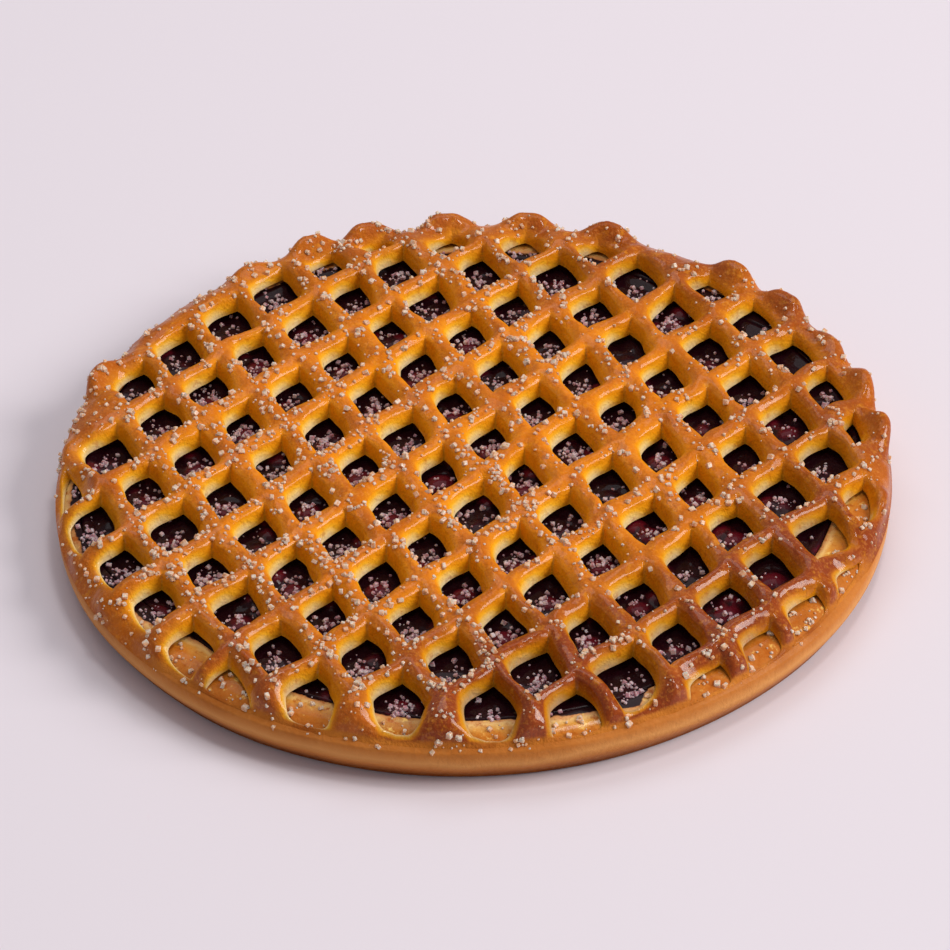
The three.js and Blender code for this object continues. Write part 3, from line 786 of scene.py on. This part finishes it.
def sugar_object(name, places, normals, low, high, sink, upright):
    """Uneven cubes with worn edges, as one mesh."""
    count = len(places)
    sizes = low + (high - low) * rng.uniform(0, 1, (count, 1)) ** SMALL_ONES
    sizes = sizes * rng.uniform(*SIDES, (count, 3))
    turns = turned(count, upright)
    corners = CUBE[None] * rng.uniform(*CORNER_SHIFTS, (count, 8, 3)) * sizes[:, None]
    corners = np.einsum("nij,nkj->nki", turns, corners)
    centre = places + normals * (sizes.mean(axis=1) * (0.5 - sink))[:, None]
    points = (corners + centre[:, None]).reshape(-1, 3)
    faces = [tuple(8 * i + v for v in f) for i in range(count) for f in CUBE_FACES]
    made = make_object(name, points, faces, rounded=False)
    bevel = made.modifiers.new("worn_edges", "BEVEL")
    bevel.width = WORN_EDGE * MM
    bevel.segments = 1
    return made


def on_lid(count):
    """Places on top of the lid and the ways out of it there."""
    a, b, c = (sheet_place[sheet_tri[:, k]] for k in range(3))
    normal = np.cross(b - a, c - a)
    area = np.linalg.norm(normal, axis=1) / 2
    normal /= 2 * area[:, None]
    middle = sheet_points[sheet_tri].mean(axis=1)
    dense = uneven_level(middle, LID_DENSITY, LID_CLUSTERS)
    dense += LID_LEFT * smooth(*LID_LEFT_SPAN, middle[:, 0])
    dense *= lerp(1.0, RIM_DENSITY, smooth(*RIM_SPAN, np.hypot(*middle.T)))
    weight = area * np.clip(dense, *LID_LIMITS)
    chosen = rng.choice(len(area), count, p=weight / weight.sum())
    u, v = rng.uniform(0, 1, (2, count))
    flip = u + v > 1
    u[flip], v[flip] = 1 - u[flip], 1 - v[flip]
    place = a[chosen] + u[:, None] * (b - a)[chosen] + v[:, None] * (c - a)[chosen]
    return place, normal[chosen]


def in_pockets(count):
    """Places on the rim inside the openings, beyond the filling."""
    feet = [opening_ring(o, 0) for o in openings]
    theta = rng.uniform(*np.radians(POCKET_AZIMUTHS), POCKET_TRIES * count)
    rho = POCKET_END - POCKET_DEPTH * rng.uniform(0, 1, len(theta)) ** POCKET_FAVOUR
    p = np.stack([rho * np.cos(theta), rho * np.sin(theta)], axis=1)
    keep = in_openings(feet, p) & (rho > dark_reach(theta) + JUICE_MARGIN)
    rho, theta = rho[keep][:count], theta[keep][:count]
    turn = np.maximum(0, rho - SHOULDER_START) / (SHOULDER_RADIUS + LID_CLEARANCE)
    r = np.minimum(rho, SHOULDER_START) + SHOULDER_RADIUS * np.sin(turn)
    z = RIM_TOP - SHOULDER_RADIUS + SHOULDER_RADIUS * np.cos(turn)
    normals = np.stack([np.sin(turn) * np.cos(theta), np.sin(turn) * np.sin(theta), np.cos(turn)], axis=1)
    return out_of_round(r * np.cos(theta), r * np.sin(theta), z), normals


lid_places, lid_normals = on_lid(ON_LID)
pocket_places, pocket_normals = in_pockets(IN_POCKETS)
lid_places = np.concatenate([lid_places, pocket_places])
lid_normals = np.concatenate([lid_normals, pocket_normals])
lid_sugar = sugar_object("sugar_on_lid", lid_places, lid_normals, **LID_CRYSTALS)


def on_filling(count):
    """Places on the filling, and on the juice beyond it, under the openings."""
    middles = np.array([o["at"] for o in openings])
    left = FILLING_LEFT * smooth(*FILLING_LEFT_SPAN, middles[:, 0])
    weight = uneven_level(middles, FILLING_DENSITY + left, FILLING_CLUSTERS)
    weight = np.clip(weight, *FILLING_LIMITS)
    places = []
    while len(places) < count:
        at = middles[rng.choice(len(middles), p=weight / weight.sum())]
        at = at + rng.normal(*HEAP_ACROSS) * ACROSS + rng.normal(*HEAP_ALONG) * ALONG
        rho = math.hypot(*at)
        theta = np.array([math.atan2(at[1], at[0])])
        if rho < filling_reach(theta)[0] - FILLING_MARGIN:
            k = int(np.hypot(*(filling_points - at).T).argmin())
            places.append((at[0], at[1], filling_z[k]))
        elif rho < eased(JUICE_REACH, theta)[0] - JUICE_MARGIN:
            places.append((at[0], at[1], float(level_of_rim(rho))))
    return np.array(places)


filling_places = on_filling(ON_FILLING)
up = np.tile([0.0, 0.0, 1.0], (len(filling_places), 1))
filling_sugar = sugar_object("sugar_on_filling", filling_places, up, **FILLING_CRYSTALS)


# Materials

def linear(r, g, b):
    """An 8-bit screen colour as linear light."""
    out = []
    for v in (r, g, b):
        v /= 255
        out.append(v / 12.92 if v <= 0.04045 else ((v + 0.055) / 1.055) ** 2.4)
    return (*out, 1.0)


class Nodes:
    """Short calls for building one material's nodes."""

    def __init__(self, name):
        self.material = bpy.data.materials.new(name)
        self.material.use_nodes = True
        self.tree = self.material.node_tree
        self.shader = self.tree.nodes["Principled BSDF"]

    def add(self, kind, **values):
        node = self.tree.nodes.new(kind)
        for key, value in values.items():
            setattr(node, key, value)
        return node

    def link(self, a, b):
        self.tree.links.new(a, b)

    def set(self, socket, value):
        self.shader.inputs[socket].default_value = value

    def place(self):
        return self.add("ShaderNodeTexCoord").outputs["Object"]

    def attribute(self, name):
        return self.add("ShaderNodeAttribute", attribute_name=name).outputs["Fac"]

    def noise(self, scale, detail=3.0, rough=0.55):
        """Noise from 0 to 1, mostly near 0.5, with scale patches in a metre."""
        node = self.add("ShaderNodeTexNoise")
        node.inputs["Scale"].default_value = scale
        node.inputs["Detail"].default_value = detail
        node.inputs["Roughness"].default_value = rough
        self.link(self.place(), node.inputs["Vector"])
        return node.outputs["Fac"]

    def ramp(self, source, stops):
        """A colour by a value from 0 to 1."""
        node = self.add("ShaderNodeValToRGB")
        ramp = node.color_ramp
        while len(ramp.elements) < len(stops):
            ramp.elements.new(0.5)
        for element, (at, colour) in zip(ramp.elements, stops):
            element.position = at
            element.color = colour
        self.link(source, node.inputs["Fac"])
        return node.outputs["Color"]

    def mix(self, amount, a, b):
        """Colour a with an amount of colour b over it."""
        node = self.add("ShaderNodeMix", data_type="RGBA")
        for socket, value in ((node.inputs["Factor"], amount), (node.inputs[6], a), (node.inputs[7], b)):
            if hasattr(value, "links"):
                self.link(value, socket)
            else:
                socket.default_value = value
        return node.outputs[2]

    def math(self, operation, a, b=0.0, clamp=False):
        node = self.add("ShaderNodeMath", operation=operation, use_clamp=clamp)
        for socket, value in zip(node.inputs, (a, b)):
            if hasattr(value, "links"):
                self.link(value, socket)
            else:
                socket.default_value = value
        return node.outputs[0]

    def times(self, a, b):
        return self.math("MULTIPLY", a, b)

    def plus(self, a, b):
        return self.math("ADD", a, b)

    def at_least(self, least, source):
        """A factor that goes from least to 1 as its source goes from 0 to 1."""
        return self.plus(least, self.times(source, 1 - least))

    def uneven(self, source, noise, amount):
        """A value that noise moves up and down, by half of amount at the most."""
        return self.plus(source, self.times(self.math("SUBTRACT", noise, 0.5), amount))

    def span(self, source, low, high):
        """From 0 to 1 as the source goes from low to high."""
        node = self.add("ShaderNodeMapRange", clamp=True, interpolation_type="SMOOTHSTEP")
        self.link(source, node.inputs["Value"])
        node.inputs["From Min"].default_value = low
        node.inputs["From Max"].default_value = high
        return node.outputs["Result"]

    def toward(self, azimuth, radius):
        """Cosine of the turn from an azimuth, as seen from the pie's axis."""
        split = self.add("ShaderNodeSeparateXYZ")
        self.link(self.place(), split.inputs[0])
        way = unit(azimuth)
        x = self.times(split.outputs[0], float(way[0]))
        y = self.times(split.outputs[1], float(way[1]))
        return self.math("DIVIDE", self.plus(x, y), radius)

    def radius_and_height(self):
        """Distance from the pie's axis and height above its foot, in metres."""
        split = self.add("ShaderNodeSeparateXYZ")
        self.link(self.place(), split.inputs[0])
        x, y, height = split.outputs
        square = self.plus(self.math("POWER", x, 2.0), self.math("POWER", y, 2.0))
        return self.math("SQRT", square), height

    def bump(self, height, strength, distance):
        node = self.add("ShaderNodeBump")
        node.inputs["Strength"].default_value = strength
        node.inputs["Distance"].default_value = distance
        self.link(height, node.inputs["Height"])
        self.link(node.outputs["Normal"], self.shader.inputs["Normal"])


FRONT_SIDE = 270.0  # azimuth of the side that was baked darkest
DARK_SIDE = 0.0  # and of the middle of the side away from the palest part of the rim
SIDE_TOP = (0.0142, 0.0154)  # heights in metres where the base's side ends and the rim's top begins
PALE_FLECK = linear(240, 160, 30)
BROWN_FLECK = linear(176, 82, 8)
LIGHT_SPECK = linear(228, 150, 76)
BLOTCH_BROWN = linear(168, 78, 14)
RIM_BROWN = linear(136, 54, 4)
SIDE_GOLD = linear(196, 118, 42)
SIDE_BROWN = linear(150, 74, 20)
SIDE_SPECK = linear(206, 146, 82)
RIM_FLECK = linear(240, 196, 104)
RIM_BROWN_FLECK = linear(176, 90, 16)
JUICE = linear(28, 2, 8)


def glazed_crust():
    """The lid: bare dough low on the walls, golden above, brown at the rim, with a patchy glaze. The walls
    on the side of each opening away from the key light have painted shade, a browner tone than bare dough.
    """
    n = Nodes("glazed_crust")
    # Browning of the dough, with painted shade on the walls away from the key light.
    browning_and_shade = n.attribute("browning_and_shade")
    colour = n.ramp(
        n.uneven(browning_and_shade, n.noise(160, 3), 0.14),
        [
            (0.0, linear(242, 220, 170)),
            (0.20, linear(243, 206, 120)),
            (0.40, linear(243, 178, 40)),
            (0.60, linear(234, 150, 14)),
            (0.85, linear(222, 130, 8)),
            (1.0, linear(212, 117, 10)),
        ],
    )
    top = n.span(browning_and_shade, 0.55, 0.95)
    blotch = n.span(n.noise(46, 4), 0.4, 0.66)
    colour = n.mix(n.times(blotch, n.times(top, 0.55)), colour, BLOTCH_BROWN)

    # Browner towards the rim, and over a wider stretch in front
    radius, _ = n.radius_and_height()
    front = n.span(n.toward(FRONT_SIDE, radius), -0.2, 0.9)
    edge = n.plus(n.span(radius, 0.07, 0.13), n.times(front, n.span(radius, 0.05, 0.115)))
    dark_side = n.span(n.toward(DARK_SIDE, radius), -0.7, 0.3)
    patches = n.span(n.noise(30, 3), 0.3, 0.6)
    rim = n.times(edge, n.at_least(0.5, dark_side))
    rim = n.times(rim, n.at_least(0.4, top))
    rim = n.times(rim, n.at_least(0.4, patches))
    colour = n.mix(n.math("MULTIPLY", rim, 0.78, clamp=True), colour, RIM_BROWN)

    fleck = n.noise(300, 4, 0.7)
    colour = n.mix(n.times(n.span(fleck, 0.52, 0.7), 0.3), colour, PALE_FLECK)
    colour = n.mix(n.times(n.span(fleck, 0.48, 0.3), 0.45), colour, BROWN_FLECK)
    speck = n.times(n.span(n.noise(900, 3), 0.5, 0.7), n.times(top, 0.26))
    colour = n.mix(speck, colour, LIGHT_SPECK)

    # Where the lid passes into the base it has the base's colours and no glaze
    seam = n.span(n.plus(n.attribute("seam"), n.times(n.noise(90, 3), 0.5)), 0.45, 1.1)
    low = n.mix(n.span(n.noise(34, 4, 0.6), 0.4, 0.66), SIDE_GOLD, SIDE_BROWN)
    colour = n.mix(seam, colour, low)
    n.link(colour, n.shader.inputs["Base Color"])
    n.set("Roughness", 0.5)
    n.set("Specular IOR Level", 0.05)
    wet = n.plus(n.span(n.noise(70, 3), 0.3, 0.6), n.times(rim, 0.5))
    wet = n.times(n.math("SUBTRACT", 1.0, seam), wet)
    n.link(n.plus(n.times(wet, 0.34), 0.06), n.shader.inputs["Coat Weight"])
    n.set("Coat Roughness", 0.09)
    n.bump(n.plus(n.noise(260, 4, 0.6), n.times(n.noise(1100, 3), 0.5)), 0.75, 0.001)
    return n.material


def side_crust():
    """The base: darker at the foot, lightest across the middle of the side and a little darker under the
    rim, and a glossier rim beside the filling. The dark foot is real browning with painted shade, and the
    light middle band is a painted highlight on the side's bulge.
    """
    n = Nodes("side_crust")
    _, height = n.radius_and_height()
    # Painted shade and a painted highlight: darker towards the foot, where real browning adds to it, and a
    # lighter band across the middle of the side where its bulge would catch the light.
    side = n.ramp(
        n.span(n.uneven(height, n.noise(26, 4), 0.006), -0.001, 0.0175),
        [
            (0.0, linear(110, 50, 14)),
            (0.12, linear(152, 82, 30)),
            (0.34, linear(192, 118, 56)),
            (0.58, linear(216, 150, 84)),
            (0.82, linear(196, 120, 54)),
            (1.0, linear(178, 100, 32)),
        ],
    )
    # Top of the rim: pale beside the filling, then golden, then brown where it rolls down
    beyond = n.uneven(n.attribute("beyond"), n.noise(180, 3), 4.0)
    top = n.ramp(
        n.span(beyond, -1.0, 13.0),
        [
            (0.0, linear(200, 130, 80)),
            (0.10, linear(228, 184, 112)),
            (0.22, linear(214, 148, 58)),
            (0.55, linear(196, 112, 26)),
            (1.0, linear(188, 106, 32)),
        ],
    )
    on_top = n.span(height, *SIDE_TOP)
    colour = n.mix(on_top, side, top)
    colour = n.mix(n.times(n.span(n.noise(600, 3), 0.35, 0.75), 0.16), colour, SIDE_SPECK)
    baked = n.times(n.span(n.noise(34, 4, 0.6), 0.45, 0.7), n.span(height, 0.007, 0.015))
    colour = n.mix(n.times(baked, 0.5), colour, SIDE_BROWN)
    fleck = n.noise(240, 4, 0.7)
    colour = n.mix(n.times(n.span(fleck, 0.5, 0.32), on_top), colour, RIM_BROWN_FLECK)
    colour = n.mix(n.times(n.span(fleck, 0.56, 0.72), on_top), colour, RIM_FLECK)
    colour = n.mix(n.times(n.span(beyond, 0.3, -0.4), on_top), colour, JUICE)
    n.link(colour, n.shader.inputs["Base Color"])
    n.set("Roughness", 0.5)
    n.set("Specular IOR Level", 0.05)
    n.link(n.plus(n.times(on_top, 0.2), 0.05), n.shader.inputs["Coat Weight"])
    n.set("Coat Roughness", 0.12)
    n.bump(n.plus(n.noise(350, 5, 0.6), n.times(n.noise(60, 3), 0.8)), 0.6, 0.0009)
    return n.material


def cherry_jelly():
    """The filling: nearly black jelly, redder where a cherry rises out of it."""
    n = Nodes("cherry_jelly")
    colour = n.ramp(
        n.uneven(n.attribute("fruit"), n.noise(220, 4), 0.7),
        [(0.0, linear(30, 2, 9)), (0.55, linear(44, 3, 13)), (1.0, linear(84, 6, 22))],
    )
    n.link(colour, n.shader.inputs["Base Color"])
    n.set("Roughness", 0.45)
    n.set("Specular IOR Level", 0.05)
    n.set("Coat Weight", 0.2)
    n.set("Coat Roughness", 0.07)
    n.bump(n.plus(n.noise(300, 4, 0.65), n.times(n.noise(900, 2), 0.4)), 0.9, 0.0012)
    return n.material


def sugar(name, tint, cloud, clear):
    """Crystals that let light through, between a tint and a cloudy colour."""
    n = Nodes(name)
    cloudy = n.span(n.noise(700, 2), 0.35, 0.65)
    n.link(n.mix(cloudy, tint, cloud), n.shader.inputs["Base Color"])
    n.set("Roughness", 0.25)
    n.set("Transmission Weight", clear)
    n.set("IOR", 1.4)
    n.set("Subsurface Weight", 0.5)
    n.set("Subsurface Radius", (0.0016, 0.0012, 0.0010))
    n.set("Subsurface Scale", 1.0)
    n.bump(n.noise(1800, 2), 0.25, 0.0003)
    return n.material


def dress(obj, material, node=None):
    """Gives a piece its material and puts it under the root; where it stands for a solid, that solid is
    hidden.
    """
    obj.data.materials.append(material)
    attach(obj, "root")
    if node:
        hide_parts(node)


dress(lid, glazed_crust(), "lattice_lid")
dress(base, side_crust(), "base_crust")
dress(filling, cherry_jelly(), "cherry_filling")
dress(lid_sugar, sugar("sugar_pale", linear(250, 186, 140), linear(255, 234, 214), 0.35))
dress(filling_sugar, sugar("sugar_tinted", linear(208, 150, 164), linear(250, 222, 224), 0.4))


# Floor, light and camera

FLOOR_HALF = 1.6
FLOOR_DROP = 0.0001  # the floor lies this far below the pie, so that the two faces don't flicker
FLOOR_COLOUR = linear(223, 215, 223)
SKY_COLOUR = (0.95, 0.92, 0.95, 1)
SKY_STRENGTH = 0.37


def make_floor():
    mesh = bpy.data.meshes.new("floor")
    half = FLOOR_HALF
    corners = [(-half, -half, 0), (half, -half, 0), (half, half, 0), (-half, half, 0)]
    mesh.from_pydata(corners, [], [(0, 1, 2, 3)])
    floor = bpy.data.objects.new("floor", mesh)
    bpy.context.scene.collection.objects.link(floor)
    floor.location.z = -FLOOR_DROP
    n = Nodes("floor_paint")
    n.set("Base Color", FLOOR_COLOUR)
    n.set("Roughness", 0.6)
    floor.data.materials.append(n.material)


def soft_light(name, place, size, power, colour):
    """An area light that faces the pie's middle: metres and watts."""
    lamp = bpy.data.lights.new(name, "AREA")
    lamp.shape = "RECTANGLE"
    lamp.size, lamp.size_y = size
    lamp.energy = power
    lamp.color = colour
    made = bpy.data.objects.new(name, lamp)
    made.location = place
    made.rotation_euler = (-Vector(place)).to_track_quat("-Z", "Y").to_euler()
    bpy.context.scene.collection.objects.link(made)


def make_world():
    world = bpy.data.worlds.new("studio")
    world.use_nodes = True
    background = world.node_tree.nodes["Background"]
    background.inputs["Color"].default_value = SKY_COLOUR
    background.inputs["Strength"].default_value = SKY_STRENGTH
    bpy.context.scene.world = world


CAMERA_TILT = 38.75
CAMERA_DISTANCE = 1.509
CAMERA_ROLL = -2.212
SENSOR_WIDTH = 36
FOCAL_PIXELS = 4520.7
IMAGE_PIXELS = 950
SHIFT_PIXELS = (2.35, 34.4)


def make_camera():
    data = bpy.data.cameras.new("camera")
    data.sensor_width = SENSOR_WIDTH
    data.lens = FOCAL_PIXELS / IMAGE_PIXELS * SENSOR_WIDTH
    data.shift_x = SHIFT_PIXELS[0] / IMAGE_PIXELS
    data.shift_y = SHIFT_PIXELS[1] / IMAGE_PIXELS
    data.clip_end = 20
    made = bpy.data.objects.new("camera", data)
    tilt = math.radians(CAMERA_TILT)
    made.location = (0, -CAMERA_DISTANCE * math.cos(tilt), CAMERA_DISTANCE * math.sin(tilt))
    aim = (-Vector(made.location)).to_track_quat("-Z", "Y").to_matrix().to_4x4()
    roll = Matrix.Rotation(math.radians(CAMERA_ROLL), 4, "Z")
    made.rotation_euler = (aim @ roll).to_euler()
    bpy.context.scene.collection.objects.link(made)
    bpy.context.scene.camera = made


make_floor()
soft_light("key", (3.2, -0.5, 2.25), (1.95, 1.95), 132, (1.0, 0.97, 0.93))
soft_light("top", (-0.1, 0.9, 1.5), (1.4, 0.8), 6, (0.98, 0.98, 1.0))
soft_light("glint", (0.35, 0.15, 1.8), (0.3, 0.3), 5, (1.0, 0.99, 0.97))
make_world()
bpy.context.scene.view_settings.view_transform = "Standard"
make_camera()

bpy.context.view_layer.update()
